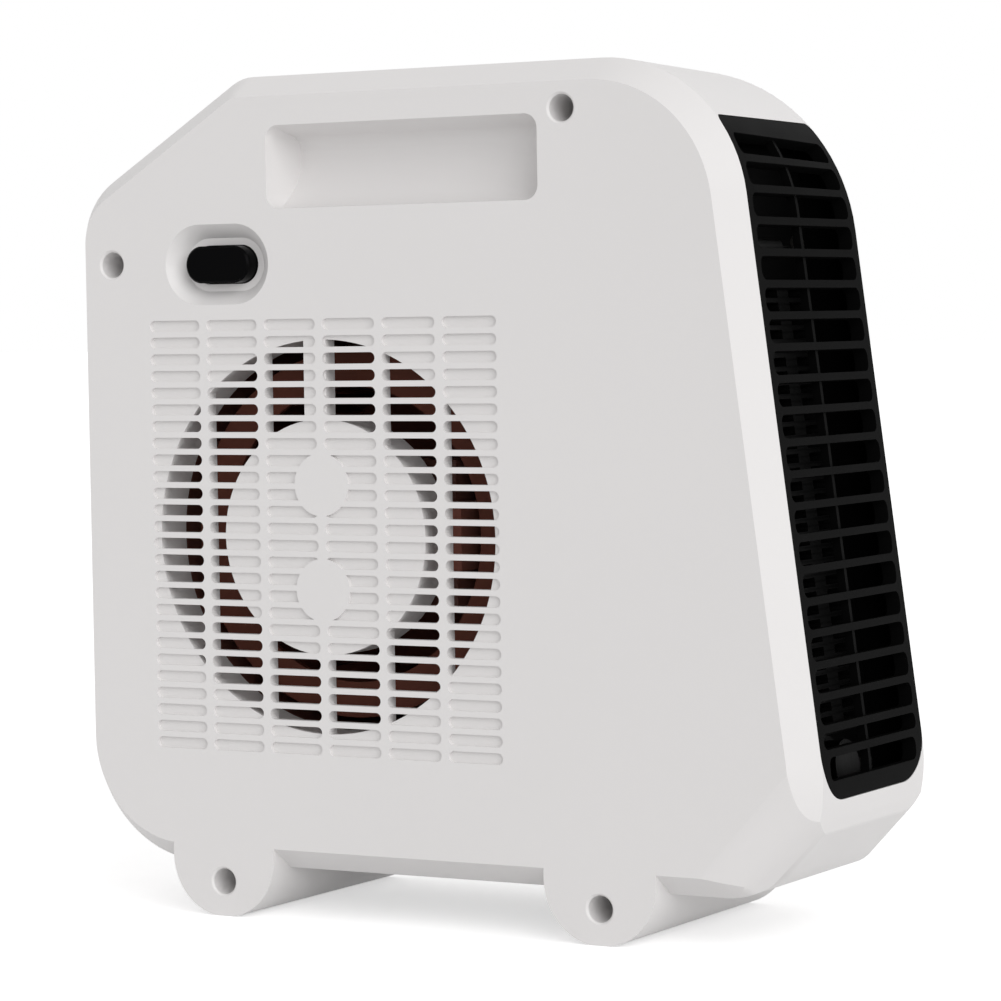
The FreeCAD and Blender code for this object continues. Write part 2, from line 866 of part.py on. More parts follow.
housing_cut = cut("housing_cut", housing_filled, fused("housing_cuts", cuts))
housing_grooved = cut("housing_grooved", housing_cut, grooves)
main_housing = node(cut("housing_open", housing_grooved, open_slots), "main_housing")

# Side cover: shallow lid with the same bevel and four screw posts

far_bevel = lofted("far_bevel", [
    loop_at_x(parting_x, far_outline), loop_at_x(half_depth, inset(far_outline, S.bevel)),
])
cover_body = cut("cover_body", far_bevel, chin_corner("cover_corner", 1, 0))
cover_feet = [
    foot("cover_foot_" + name, y, parting_x, S.bevel_run, 0)
    for name, y in foot_places.items()
]
cover_block = cut("cover_block", fused("cover_outside", [cover_body] + cover_feet), flat_cut("cover_flat"))
cover_rim = S.wall * bevel_slant / S.bevel_run
cover_hollow = lofted("cover_hollow", [
    loop_at_x(parting_x, inset(far_outline, cover_rim)),
    loop_at_x(cover_inner_x, inset(far_outline, hollow_face_inset)),
])
cover_hollow_body = cut("cover_hollow_body", cover_hollow, chin_corner("cover_hollow_corner", 1, S.wall))
cover_hollows = [
    foot("cover_hollow_" + name, y, parting_x - 1, S.bevel_run - S.wall + 1, S.wall)
    for name, y in foot_places.items()
]
cover_shell = cut("cover_shell", cover_block, fused("cover_inside", [cover_hollow_body] + cover_hollows))

post_start_x = in_from_face(S.screw_tunnel_end) + S.gap
post_length = cover_inner_x - post_start_x + S.wall / 2
cover_adds = [cover_shell]
cover_cuts = []
thread_depth = S.casing_screw_length - S.screw_tunnel_floor + 1
for name, (y, z) in screw_places.items():
    cover_adds.append(cylinder("post_" + name, S.cover_post_radius, post_length, post_start_x, y, z))
    cover_cuts.append(cylinder(
        "post_thread_" + name, S.casing_screw_radius + S.thread_slack, thread_depth, post_start_x - 1, y, z,
    ))

# Scroll duct: three growing arcs round the wheel, then straight walls to the heater

duct_plate_x = cover_inner_x - S.duct_plate_stand - S.duct_plate_thickness
growth = float(S.scroll_growth)
radius_a = float(S.scroll_radius)
radius_b = radius_a + growth
radius_c = radius_b + growth
centre_a = (0.0, -growth / 2)
centre_b = (0.0, growth / 2)
centre_c = (growth, growth / 2)

# The heater frame fills the front between the underside and the top, less a gap at either end.
frame_rise = S.total_height - S.frame_top_gap - S.underside_height - S.frame_bottom_gap
frame_half_height = frame_rise / 2 / cos_of(S.front_lean)
frame_width = S.body_depth - 2 * S.frame_side_gap
window_width = frame_width - 2 * S.frame_border
window_half_height = frame_half_height - S.frame_end
duct_end_half_height = window_half_height + S.duct_end_margin
duct_flange_half_height = frame_half_height - S.duct_flange_inset
heater_screw_height = frame_half_height - S.heater_screw_inset
heater_screw_half_spacing = frame_width / 2 - S.heater_screw_side
heater_z = S.underside_height + S.frame_bottom_gap + frame_rise / 2
heater_y = front_y(heater_z)
lean = math.radians(float(S.front_lean))
frame_back = S.frame_depth + S.frame_thickness


def heater_point(depth, rise):
    """Distance ahead and above the blower's axis for a place in the leaning heater frame."""
    y = float(heater_y) + float(depth) * math.cos(lean) + float(rise) * math.sin(lean)
    z = float(heater_z) - float(depth) * math.sin(lean) + float(rise) * math.cos(lean)
    return float(axis_y) - y, z - float(axis_z)


def on_arc(centre, radius, angle):
    return centre[0] + radius * math.cos(angle), centre[1] + radius * math.sin(angle)


def at_plane(x, place_2d):
    return Vector(float(x), float(ahead(place_2d[0])), float(above(place_2d[1])))


# Both straight walls end inside their flanges.
wall_end_depth = frame_back + S.duct_flange_thickness / 2
top_end = heater_point(wall_end_depth, duct_end_half_height)
low_end = heater_point(wall_end_depth, -duct_end_half_height)
reach = math.hypot(top_end[0] - centre_c[0], top_end[1] - centre_c[1])
bearing = math.atan2(top_end[1] - centre_c[1], top_end[0] - centre_c[0])
leave_angle = bearing + math.acos(radius_c / reach)
tongue_angle = -math.radians(float(S.scroll_tongue_angle))
tongue = on_arc(centre_a, radius_a, tongue_angle)


def scroll_edges(x, offset):
    """The scroll's curve at an offset outside the air passage, from the tongue to the top end."""
    turns = [
        (centre_a, radius_a, tongue_angle, -math.pi / 2),
        (centre_b, radius_b, -math.pi / 2, -math.pi),
        (centre_c, radius_c, math.pi, leave_angle),
    ]
    edges = []
    for centre, radius, start, end in turns:
        points = [on_arc(centre, radius + offset, a) for a in (start, (start + end) / 2, end)]
        edges.append(Part.Arc(*[at_plane(x, p) for p in points]).toShape())
    leave = on_arc(centre_c, radius_c + offset, leave_angle)
    end = (top_end[0] + offset * math.cos(leave_angle), top_end[1] + offset * math.sin(leave_angle))
    edges.append(Part.LineSegment(at_plane(x, leave), at_plane(x, end)).toShape())
    return edges, on_arc(centre_a, radius_a + offset, tongue_angle), end


def strip_wire(x):
    """Closed outline of the scroll's wall."""
    inner, inner_start, inner_end = scroll_edges(x, 0.0)
    outer, outer_start, outer_end = scroll_edges(x, float(S.duct_wall))
    caps = [
        Part.LineSegment(at_plane(x, inner_end), at_plane(x, outer_end)).toShape(),
        Part.LineSegment(at_plane(x, outer_start), at_plane(x, inner_start)).toShape(),
    ]
    return Part.Wire(inner + [caps[0]] + [e for e in reversed(outer)] + [caps[1]])


low_length = math.hypot(low_end[0] - tongue[0], low_end[1] - tongue[1])
low_normal = ((low_end[1] - tongue[1]) / low_length, -(low_end[0] - tongue[0]) / low_length)


def below_low_wall(point, offset):
    return point[0] + low_normal[0] * offset, point[1] + low_normal[1] * offset


def polygon_wire(x, points):
    vectors = [at_plane(x, p) for p in points]
    return Part.makePolygon(vectors + [vectors[0]])


def scroll_plate_wire(x):
    """Closed outline of the back plate behind the scroll's arcs."""
    arcs = scroll_edges(x, float(S.duct_wall))[0][:-1]
    closing = Part.LineSegment(arcs[-1].lastVertex().Point, arcs[0].firstVertex().Point).toShape()
    return Part.Wire(arcs + [closing])


def outlet_plate_wire(x):
    """Closed outline of the back plate between the straight walls, back to the blower's axis."""
    outer_end = scroll_edges(x, float(S.duct_wall))[2]
    return polygon_wire(x, [
        on_arc(centre_c, radius_c + float(S.duct_wall), leave_angle),
        outer_end,
        below_low_wall(low_end, float(S.duct_wall)),
        below_low_wall(tongue, float(S.duct_wall)),
        (0.0, 0.0),
    ])


duct_start_x = face_x + S.wall + S.gap
duct_length = duct_plate_x - duct_start_x + 0.5
low_wall_wire = polygon_wire(duct_start_x, [
    tongue, low_end,
    below_low_wall(low_end, float(S.duct_wall)), below_low_wall(tongue, float(S.duct_wall)),
])
duct_pieces = [
    extruded("scroll_wall", strip_wire(duct_start_x), TO_FAR_SIDE, duct_length),
    extruded("duct_floor", low_wall_wire, TO_FAR_SIDE, duct_length),
    cylinder("duct_tongue", S.duct_wall, duct_length, duct_start_x, ahead(tongue[0]), above(tongue[1])),
    extruded("scroll_plate", scroll_plate_wire(duct_plate_x), TO_FAR_SIDE, S.duct_plate_thickness),
    extruded("outlet_plate", outlet_plate_wire(duct_plate_x), TO_FAR_SIDE, S.duct_plate_thickness),
]

ear_reach = float(S.duct_wall) + float(S.duct_ear_offset)
low_middle = ((tongue[0] + low_end[0]) / 2, (tongue[1] + low_end[1]) / 2)
ear_places = [
    on_arc(centre_b, radius_b + ear_reach, math.radians(-135)),
    on_arc(centre_c, radius_c + ear_reach, math.radians(145)),
    below_low_wall(low_middle, ear_reach),
]
ear_holes = []
for i, (u, v) in enumerate(ear_places):
    y, z = ahead(u), above(v)
    duct_pieces.append(cylinder(
        "duct_ear_%d" % i, S.duct_ear_radius, S.duct_plate_thickness, duct_plate_x, y, z,
    ))
    ear_holes.append(cylinder(
        "ear_hole_%d" % i, S.small_screw_radius + S.screw_slack, S.duct_plate_thickness + 2,
        duct_plate_x - 1, y, z,
    ))
    cover_adds.append(cylinder(
        "duct_boss_%d" % i, S.duct_boss_radius, S.duct_plate_stand + S.wall / 2,
        cover_inner_x - S.duct_plate_stand, y, z,
    ))
    cover_cuts.append(cylinder(
        "duct_thread_%d" % i, S.small_screw_radius + S.thread_slack, S.duct_plate_stand + 2.5,
        cover_inner_x - S.duct_plate_stand - 1, y, z,
    ))


# Leaning parts are built upright, then turned back by the lean about the front's middle.
# Upright: depth runs along +Y from the outer front surface, rise along Z.

def lean_back(obj):
    return tilted(obj, S.front_lean, heater_y, heater_z)


flange_low = duct_end_half_height - S.duct_wall / 3
flange_rise = duct_flange_half_height - flange_low
flange_width = frame_width
heater_screw_places = [
    (side * heater_screw_half_spacing, end * heater_screw_height)
    for side in (-1, 1) for end in (-1, 1)
]
flanges = [
    box("duct_flange_low", -flange_width / 2, frame_back, -duct_flange_half_height,
        flange_width, S.duct_flange_thickness, flange_rise),
    box("duct_flange_top", -flange_width / 2, frame_back, flange_low,
        flange_width, S.duct_flange_thickness, flange_rise),
]
flange_holes = [
    cylinder("flange_thread_%d" % i, S.small_screw_radius + S.thread_slack, S.duct_flange_thickness + 2,
             x, frame_back - 1, z, TOWARDS_REAR)
    for i, (x, z) in enumerate(heater_screw_places)
]
duct_flanges = lean_back(cut(
    "duct_flanges", fused("duct_flange_pair", flanges), fused("flange_threads", flange_holes),
))
scroll_duct = node(
    cut("duct_cut", fused("duct_solid", duct_pieces + [duct_flanges]), fused("ear_holes", ear_holes)),
    "scroll_duct",
)

# Terminal block's boss on the cover

block_y = ahead(S.block_ahead)
block_z = above(S.block_above)
cover_adds.append(cylinder(
    "block_boss", S.duct_boss_radius, S.block_boss_height + S.wall / 2,
    cover_inner_x - S.block_boss_height, block_y, block_z,
))
cover_cuts.append(cylinder(
    "block_thread", S.small_screw_radius + S.thread_slack, S.block_boss_height + 2.3,
    cover_inner_x - S.block_boss_height - 1, block_y, block_z,
))
side_cover = node(
    cut("cover_cut", fused("cover_filled", cover_adds), fused("cover_cuts", cover_cuts)),
    "side_cover",
)

# Outlet grille: a curved panel with flanges behind the wall, slotted, with one recessed middle rib


def profile_solid(name, depth, half_width):
    """Slice of the casing at a depth under its surface."""
    return lofted(name, [loop_at_x(x, inset(outline_at(x), depth)) for x in (-half_width, half_width)])


def profile_band(name, near, far, half_width):
    """Band of the casing's outline between two depths from its surface."""
    outer = profile_solid(name + "_outer", near, half_width)
    return cut(name, outer, profile_solid(name + "_inner", far, half_width))


panel_half = panel_half_width - S.panel_gap
panel_flange_half = panel_half_width - S.panel_flange_inset
panel_window = extruded(
    "panel_window",
    loop_at_y(notch_start_y, panel_outline(
        panel_half, S.panel_bottom + S.panel_gap, panel_top - S.panel_gap,
        S.panel_top_radius - S.panel_gap, S.panel_bottom_radius - S.panel_gap,
    )),
    Vector(0, 1, 0), 2 * notch_length,
)
skin_band = profile_band("skin_band", 0.0, S.panel_thickness, panel_half_width)
panel_skin = common("panel_skin", skin_band, panel_window)
flange_window = extruded(
    "flange_window",
    loop_at_y(notch_start_y, panel_outline(
        panel_flange_half, S.panel_bottom - S.panel_flange, panel_top + S.panel_flange,
        S.panel_top_radius, S.panel_bottom_radius,
    )),
    Vector(0, 1, 0), 2 * notch_length,
)
flange_band = profile_band("flange_band", S.wall + S.panel_gap, S.panel_thickness, panel_half_width)
panel_flanges = common("panel_flanges", flange_band, flange_window)

front_arc_radius = float(S.top_front_radius + S.top_front_far_radius) / 2
top_trim = front_arc_radius * math.tan((math.pi / 2 - lean) / 2)
tangent_y = float(front_y(S.total_height)) - top_trim * math.sin(lean)
tangent_z = float(S.total_height) - top_trim * math.cos(lean)
arc_y = tangent_y + front_arc_radius * math.cos(lean)
arc_z = tangent_z - front_arc_radius * math.sin(lean)


def front_place(rise):
    """Point, upward tangent and outward normal on the front, a distance above the start of its top arc."""
    angle = lean + max(rise, 0.0) / front_arc_radius
    normal = Vector(0, -math.cos(angle), math.sin(angle))
    tangent = Vector(0, math.sin(angle), math.cos(angle))
    point = Vector(0, arc_y, arc_z) + normal * front_arc_radius + tangent * min(rise, 0.0)
    return point, tangent, normal


def outlet_slot(middle, height, half_width):
    point, tangent, normal = front_place(middle)
    radius = min(float(S.outlet_slot_radius), height / 2 - 0.1)
    half_height = tangent * (height / 2)
    side = Vector(half_width, 0, 0)
    start = point + normal * 3
    corners = [start - side - half_height, start + side - half_height,
               start + side + half_height, start - side + half_height]
    return Part.Face(rounded_loop([(c, radius) for c in corners])).extrude(normal * -12)


slot_count = int(SIZES["outlet_slots"])
bar_rise = float(S.outlet_first_bar)
low_rise = (float(S.panel_bottom) - tangent_z) / math.cos(lean) + float(S.outlet_low_margin)
pitch = (bar_rise - low_rise + float(S.outlet_narrow_drop)) / (slot_count - 1)
open_height = pitch - float(S.outlet_bar)
half_slot = float(panel_half - S.outlet_side_margin)
slots = []
for i in range(slot_count):
    narrow = i == slot_count - 2
    height = open_height - float(S.outlet_narrow_drop) if narrow else open_height
    last = i == slot_count - 1
    if i == 0:
        slot_middle = bar_rise + (float(S.outlet_bar) + height) / 2
        next_bar = bar_rise
    else:
        slot_middle = next_bar - (float(S.outlet_bar) + height) / 2
        next_bar = next_bar - float(S.outlet_bar) - height
    slots.append(outlet_slot(slot_middle, height, half_slot - 2 if last else half_slot))

rib_half = S.outlet_rib_width / 2
rib_band = profile_band("rib_band", S.outlet_rib_recess, S.outlet_rib_recess + S.outlet_rib_depth, rib_half)
slot_tools = cut("outlet_openings", shape("outlet_slots", Part.makeCompound(slots)), rib_band)
outlet_grille = node(
    cut("grille_cut", fused("grille_solid", [panel_skin, panel_flanges]), slot_tools),
    "outlet_grille",
)


# Sketched bodies: sketches lie across X, their axes run along Y and Z

def new_body(label, x, y, z):
    body = doc.addObject("PartDesign::Body", label + "_body")
    place(body, x, y, z)
    return node(body, label)


def sketch(body, name, offset):
    obj = body.newObject("Sketcher::SketchObject", name)
    plane = [f for f in body.Origin.OriginFeatures if f.Role == "YZ_Plane"][0]
    obj.AttachmentSupport = [(plane, "")]
    obj.MapMode = "FlatFace"
    bind(obj, "AttachmentOffset.Base.z", offset)
    return obj


def constrain(obj, kind, *details):
    size = details[-1]
    index = obj.addConstraint(Sketcher.Constraint(kind, *details[:-1], float(size)))
    if isinstance(size, Size):
        bind(obj, "Constraints[%d]" % index, size)


def fix_point(obj, geometry, point, y, z):
    constrain(obj, "DistanceX", -1, 1, geometry, point, y)
    constrain(obj, "DistanceY", -1, 1, geometry, point, z)


def draw_circle(obj, y, z, radius):
    middle = Vector(float(y), float(z), 0)
    index = obj.addGeometry(Part.Circle(middle, Vector(0, 0, 1), float(radius)), False)
    constrain(obj, "Radius", index, radius)
    fix_point(obj, index, 3, y, z)


def draw_rectangle(obj, y, z, dy, dz):
    a, b, c, d = float(y), float(z), float(y + dy), float(z + dz)
    points = [Vector(a, b, 0), Vector(c, b, 0), Vector(c, d, 0), Vector(a, d, 0)]
    lines = [Part.LineSegment(points[i], points[(i + 1) % 4]) for i in range(4)]
    first = obj.addGeometry(lines, False)[0]
    for i in range(4):
        obj.addConstraint(Sketcher.Constraint("Coincident", first + i, 2, first + (i + 1) % 4, 1))
    for i, kind in enumerate(("Horizontal", "Vertical", "Horizontal", "Vertical")):
        obj.addConstraint(Sketcher.Constraint(kind, first + i))
    fix_point(obj, first, 1, y, z)
    constrain(obj, "DistanceX", first, 1, first, 2, dy)
    constrain(obj, "DistanceY", first + 1, 1, first + 1, 2, dz)


def draw_pill(obj, length, height):
    """Pill along Y, centred on the sketch's origin."""
    radius = float(height) / 2
    half = float(length) / 2 - radius
    up = Vector(0, 0, 1)
    right = Part.ArcOfCircle(Part.Circle(Vector(half, 0, 0), up, radius), -math.pi / 2, math.pi / 2)
    left = Part.ArcOfCircle(Part.Circle(Vector(-half, 0, 0), up, radius), math.pi / 2, 3 * math.pi / 2)
    top = Part.LineSegment(Vector(half, radius, 0), Vector(-half, radius, 0))
    low = Part.LineSegment(Vector(-half, -radius, 0), Vector(half, -radius, 0))
    first = obj.addGeometry([right, top, left, low], False)[0]
    for i in range(4):
        obj.addConstraint(Sketcher.Constraint("Tangent", first + i, 2, first + (i + 1) % 4, 1))
    constrain(obj, "Radius", first, height / 2)
    fix_point(obj, first, 3, (length - height) / 2, 0)
    fix_point(obj, first + 2, 3, (height - length) / 2, 0)


def pad(body, name, profile, length):
    obj = body.newObject("PartDesign::Pad", name)
    obj.Profile = profile
    bind(obj, "Length", length)
    body.Tip = obj
    return obj


# Power button: pill, retaining flange and stem

button = new_body("power_button", face_x, button_y, button_z)
button_face = sketch(button, "button_pill", 0)
draw_pill(button_face, S.button_length, S.button_height)
flange_start = S.dish_depth + S.pocket_wall + S.gap
button_pad = pad(button, "button_front", button_face, flange_start)
flange_sketch = sketch(button, "button_flange_pill", flange_start)
draw_pill(flange_sketch, S.button_length + 2 * S.button_flange, S.button_height + 2 * S.button_flange)
pad(button, "button_flange", flange_sketch, S.button_flange_thickness)
stem_start = flange_start + S.button_flange_thickness
plunger_start = S.board_front - S.switch_height - S.plunger_proud
stem_sketch = sketch(button, "button_stem_square", stem_start)
stem_half = S.button_stem_side / 2
draw_rectangle(stem_sketch, -stem_half, -stem_half, S.button_stem_side, S.button_stem_side)
stem_pad = pad(button, "button_stem", stem_sketch, plunger_start - stem_start)
doc.recompute()
front_edges = [
    "Edge%d" % (i + 1) for i, edge in enumerate(stem_pad.Shape.Edges)
    if edge.BoundBox.XMax < 0.001
]
button_edge = button.newObject("PartDesign::Chamfer", "button_edge")
button_edge.Base = (stem_pad, front_edges)
bind(button_edge, "Size", S.button_chamfer)
button.Tip = button_edge

# Switch: plunger, body and board

switch_plunger = node(
    cylinder("plunger", S.plunger_radius, S.plunger_length, in_from_face(plunger_start), button_y, button_z),
    "switch_plunger",
)
switch = new_body("switch_body", in_from_face(S.board_front - S.switch_height), button_y, button_z)
switch_ring = sketch(switch, "switch_ring", 0)
draw_rectangle(switch_ring, -S.switch_side / 2, -S.switch_side / 2, S.switch_side, S.switch_side)
draw_circle(switch_ring, 0, 0, S.plunger_radius + S.running_slack)
switch_bore_depth = S.plunger_length - S.plunger_proud + S.button_travel + 1
pad(switch, "switch_wall", switch_ring, switch_bore_depth)
switch_floor = sketch(switch, "switch_floor", switch_bore_depth)
draw_rectangle(switch_floor, -S.switch_side / 2, -S.switch_side / 2, S.switch_side, S.switch_side)
pad(switch, "switch_back", switch_floor, S.switch_height - switch_bore_depth)

board_y = ahead(S.board_length - S.board_left_behind)
board_z = above(S.board_low_above)
board = new_body("control_board", in_from_face(S.board_front), 0, 0)
board_sketch = sketch(board, "board_outline", 0)
draw_rectangle(board_sketch, board_y, board_z, S.board_length, S.board_height)
for y, z in board_places:
    draw_circle(board_sketch, y, z, S.small_screw_radius + S.screw_slack)
pad(board, "board_plate", board_sketch, S.board_thickness)


# Screws: built along +Z with the head below the seat, then turned

def screw(name, radius, length, head_radius, head_height, x, y, z, rotation):
    shank = cylinder(name + "_shank", radius, length, 0, 0, 0, Rotation())
    head = cylinder(name + "_head", head_radius, head_height, 0, 0, -head_height, Rotation())
    arm = head_radius * 1.2
    slit = head_radius * 0.3
    sink = head_height * 0.5
    cross = fused(name + "_cross", [
        box(name + "_slit_a", -arm / 2, -slit / 2, -head_height, arm, slit, sink),
        box(name + "_slit_b", -slit / 2, -arm / 2, -head_height, slit, arm, sink),
    ])
    obj = cut(name, fused(name + "_solid", [shank, head]), cross)
    return place(obj, x, y, z, rotation)


def small_screw(name, length, x, y, z, rotation):
    return screw(
        name, S.small_screw_radius, length, S.small_screw_head_radius, S.small_screw_head_height,
        x, y, z, rotation,
    )


seat_x = in_from_face(S.screw_tunnel_end - S.screw_tunnel_floor)
casing_screws = node(group("casing_screw_set", [
    screw("casing_screw_" + name, S.casing_screw_radius, S.casing_screw_length,
          S.casing_screw_head_radius, S.casing_screw_head_height, seat_x, y, z, TOWARDS_X)
    for name, (y, z) in screw_places.items()
]), "casing_screws")
board_back_x = in_from_face(S.board_front + S.board_thickness)
board_screws = node(group("board_screw_set", [
    small_screw("board_screw_%d" % i, S.small_screw_length, board_back_x, y, z, AWAY_FROM_X)
    for i, (y, z) in enumerate(board_places)
]), "board_screws")
duct_screws = node(group("duct_screw_set", [
    small_screw("duct_screw_%d" % i, S.duct_plate_thickness + S.duct_plate_stand + 1, duct_plate_x,
                ahead(u), above(v), TOWARDS_X)
    for i, (u, v) in enumerate(ear_places)
]), "duct_screws")

# Blower wheel: ring, disc, hub and forty slanted blades

wheel_disc_start = S.body_depth - S.wheel_back_room
wheel_hub_start = wheel_disc_start - S.wheel_hub_reach
wheel_hub_end = wheel_disc_start + S.wheel_hub_proud
shaft_end = wheel_hub_end + S.shaft_proud
wheel = new_body("blower_wheel", face_x, axis_y, axis_z)
hub_sketch = sketch(wheel, "wheel_hub_ring", wheel_hub_start)
draw_circle(hub_sketch, 0, 0, S.wheel_hub_radius)
draw_circle(hub_sketch, 0, 0, S.shaft_radius)
pad(wheel, "wheel_hub", hub_sketch, wheel_hub_end - wheel_hub_start)
disc_sketch = sketch(wheel, "wheel_disc_ring", wheel_disc_start)
draw_circle(disc_sketch, 0, 0, S.wheel_radius)
draw_circle(disc_sketch, 0, 0, S.shaft_radius)
pad(wheel, "wheel_disc", disc_sketch, S.wheel_disc_thickness)
blade_sketch = sketch(wheel, "wheel_blade_bar", S.wheel_start)
draw_rectangle(blade_sketch, S.blade_start, S.blade_offset, S.blade_width, S.blade_thickness)
blade_pad = pad(wheel, "wheel_blade", blade_sketch, wheel_disc_start - S.wheel_start)
blades = wheel.newObject("PartDesign::PolarPattern", "wheel_blades")
blades.Originals = [blade_pad]
blades.Axis = ([f for f in wheel.Origin.OriginFeatures if f.Role == "X_Axis"][0], [""])
blades.Angle = 360
bind(blades, "Occurrences", S.blade_count)
wheel.Tip = blades
ring_sketch = sketch(wheel, "wheel_ring_outline", S.wheel_start)
draw_circle(ring_sketch, 0, 0, S.wheel_radius)
draw_circle(ring_sketch, 0, 0, S.wheel_inner_radius)
pad(wheel, "wheel_ring", ring_sketch, S.wheel_ring_thickness)

motor_shaft = node(
    cylinder("shaft", S.shaft_radius, shaft_end - S.shaft_start,
             in_from_face(S.shaft_start), axis_y, axis_z),
    "motor_shaft",
)
nut_x = in_from_face(wheel_hub_end)
nut_prism = doc.addObject("Part::Prism", "nut_prism")
nut_prism.Polygon = 6
bind(nut_prism, "Circumradius", S.wheel_nut_flats / 2 / cos_of(30))
bind(nut_prism, "Height", S.wheel_nut_height)
place(nut_prism, nut_x, axis_y, axis_z, TOWARDS_X)
nut_bore = cylinder("nut_bore", S.shaft_radius, S.wheel_nut_height + 2, nut_x - 1, axis_y, axis_z)
wheel_nut = node(cut("nut", nut_prism, nut_bore), "wheel_nut")

# Shaded-pole motor: rotor, laminated core, coil, two bearing brackets, bushes and bolts

rotor = new_body("motor_rotor", in_from_face(S.core_start + S.rotor_inset), axis_y, axis_z)
rotor_sketch = sketch(rotor, "rotor_ring", 0)
draw_circle(rotor_sketch, 0, 0, S.rotor_radius)
draw_circle(rotor_sketch, 0, 0, S.shaft_radius)
pad(rotor, "rotor_drum", rotor_sketch, S.core_thickness - 2 * S.rotor_inset)

core = new_body("motor_core", in_from_face(S.core_start), axis_y, axis_z)
core_sketch = sketch(core, "core_outline", 0)
draw_rectangle(core_sketch, -S.core_leg_end, -S.core_half_height,
               S.core_leg_end + S.core_back, 2 * S.core_half_height)
draw_rectangle(core_sketch, -S.core_leg_start, -S.core_window_half_height,
               S.core_leg_start - S.core_back, 2 * S.core_window_half_height)
draw_circle(core_sketch, 0, 0, S.core_bore_radius)
for side in (1, -1):
    draw_circle(core_sketch, 0, side * S.motor_bolt_offset, S.motor_bolt_radius + S.screw_slack)
pad(core, "core_stack", core_sketch, S.core_thickness)

coil_x = in_from_face(S.core_start - S.coil_overhang)
coil_block = box(
    "coil_block", coil_x, ahead(S.coil_end), above(-S.coil_half_height),
    S.core_thickness + 2 * S.coil_overhang, S.coil_end - S.coil_start, 2 * S.coil_half_height,
)
leg_hole = box(
    "leg_hole",
    in_from_face(S.core_start) - S.gap, ahead(S.core_leg_end) - S.gap, above(-S.coil_half_height) - 1,
    S.core_thickness + 2 * S.gap, S.core_leg_end - S.core_leg_start + 2 * S.gap, 2 * S.coil_half_height + 2,
)
motor_coil = node(cut("coil", coil_block, leg_hole), "motor_coil")


def bearing_bracket(label, strap_start, spacer_start, spacer_length):
    body = new_body(label, face_x, axis_y, axis_z)
    strap = sketch(body, label + "_strap_outline", strap_start)
    draw_rectangle(strap, -S.bracket_half_width, -S.bracket_half_height,
                   2 * S.bracket_half_width, 2 * S.bracket_half_height)
    draw_circle(strap, 0, 0, S.bush_radius)
    for side in (1, -1):
        draw_circle(strap, 0, side * S.motor_bolt_offset, S.motor_bolt_radius + S.screw_slack)
    pad(body, label + "_strap", strap, S.bracket_thickness)
    spacers = sketch(body, label + "_spacer_rings", spacer_start)
    for side in (1, -1):
        draw_circle(spacers, 0, side * S.motor_bolt_offset, S.spacer_radius)
        draw_circle(spacers, 0, side * S.motor_bolt_offset, S.motor_bolt_radius + S.screw_slack)
    pad(body, label + "_spacers", spacers, spacer_length)
    return body


front_strap_end = S.bracket_front + S.bracket_thickness
core_end = S.core_start + S.core_thickness
rear_strap_start = core_end + S.bracket_rear_spacer
bearing_bracket("front_bearing_bracket", S.bracket_front, front_strap_end, S.core_start - front_strap_end)
bearing_bracket("rear_bearing_bracket", rear_strap_start, core_end, S.bracket_rear_spacer)


def bush(name, strap_start):
    start_x = in_from_face(strap_start + S.bracket_thickness / 2 - S.bush_length / 2)
    outer = cylinder(name + "_outer", S.bush_radius, S.bush_length, start_x, axis_y, axis_z)
    bore = cylinder(
        name + "_bore", S.shaft_radius + S.shaft_slack, S.bush_length + 2, start_x - 1, axis_y, axis_z,
    )
    return cut(name, outer, bore)


shaft_bushes = node(group("bush_pair", [
    bush("front_bush", S.bracket_front),
    bush("rear_bush", rear_strap_start),
]), "shaft_bushes")
bolt_x = in_from_face(rear_strap_start + S.bracket_thickness)
motor_bolts = node(group("motor_bolt_pair", [
    screw("motor_bolt_%d" % i, S.motor_bolt_radius, S.motor_bolt_length, S.small_screw_head_radius,
          S.small_screw_head_height, bolt_x, axis_y, z, AWAY_FROM_X)
    for i, z in enumerate(motor_bolt_places)
]), "motor_bolts")

# Heater: frame, PTC bars, fins between them and terminals, all leaning with the front

stack_depth = S.frame_depth + S.frame_lip
stack_thickness = S.frame_thickness - S.frame_lip - S.gap
bar_count = S.ptc_bar_count
fin_width = (window_width - bar_count * S.ptc_bar_width) / (bar_count + 1)
bar_half_height = window_half_height + S.ptc_bar_end


def bar_start(i):
    return -window_width / 2 + (i + 1) * fin_width + i * S.ptc_bar_width


frame_block = box(
    "frame_block", -frame_width / 2, S.frame_depth, -frame_half_height,
    frame_width, S.frame_thickness, 2 * frame_half_height,
)
frame_tools = [box(
    "frame_window", -window_width / 2, S.frame_depth - 1, -window_half_height,
    window_width, S.frame_thickness + 2, 2 * window_half_height,
)]
bars = []
terminals = []
for i in range(int(SIZES["ptc_bar_count"])):
    start = bar_start(i)
    frame_tools.append(box(
        "bar_pocket_%d" % i, start - S.gap, stack_depth, -bar_half_height - S.gap,
        S.ptc_bar_width + 2 * S.gap, S.frame_thickness, 2 * bar_half_height + 2 * S.gap,
    ))
    bars.append(box(
        "ptc_bar_%d" % i, start, stack_depth, -bar_half_height,
        S.ptc_bar_width, stack_thickness, 2 * bar_half_height,
    ))
    blade_x = start + S.ptc_bar_width / 2 - S.terminal_thickness / 2
    blade_y = stack_depth + stack_thickness / 2 - S.terminal_width / 2
    terminals.append(box(
        "terminal_%d" % i, blade_x, blade_y, bar_half_height,
        S.terminal_thickness, S.terminal_width, frame_half_height - bar_half_height + S.terminal_proud,
    ))
    frame_tools.append(box(
        "terminal_slot_%d" % i, blade_x - S.gap, blade_y - S.gap, window_half_height,
        S.terminal_thickness + 2 * S.gap, S.terminal_width + 2 * S.gap, frame_half_height,
    ))
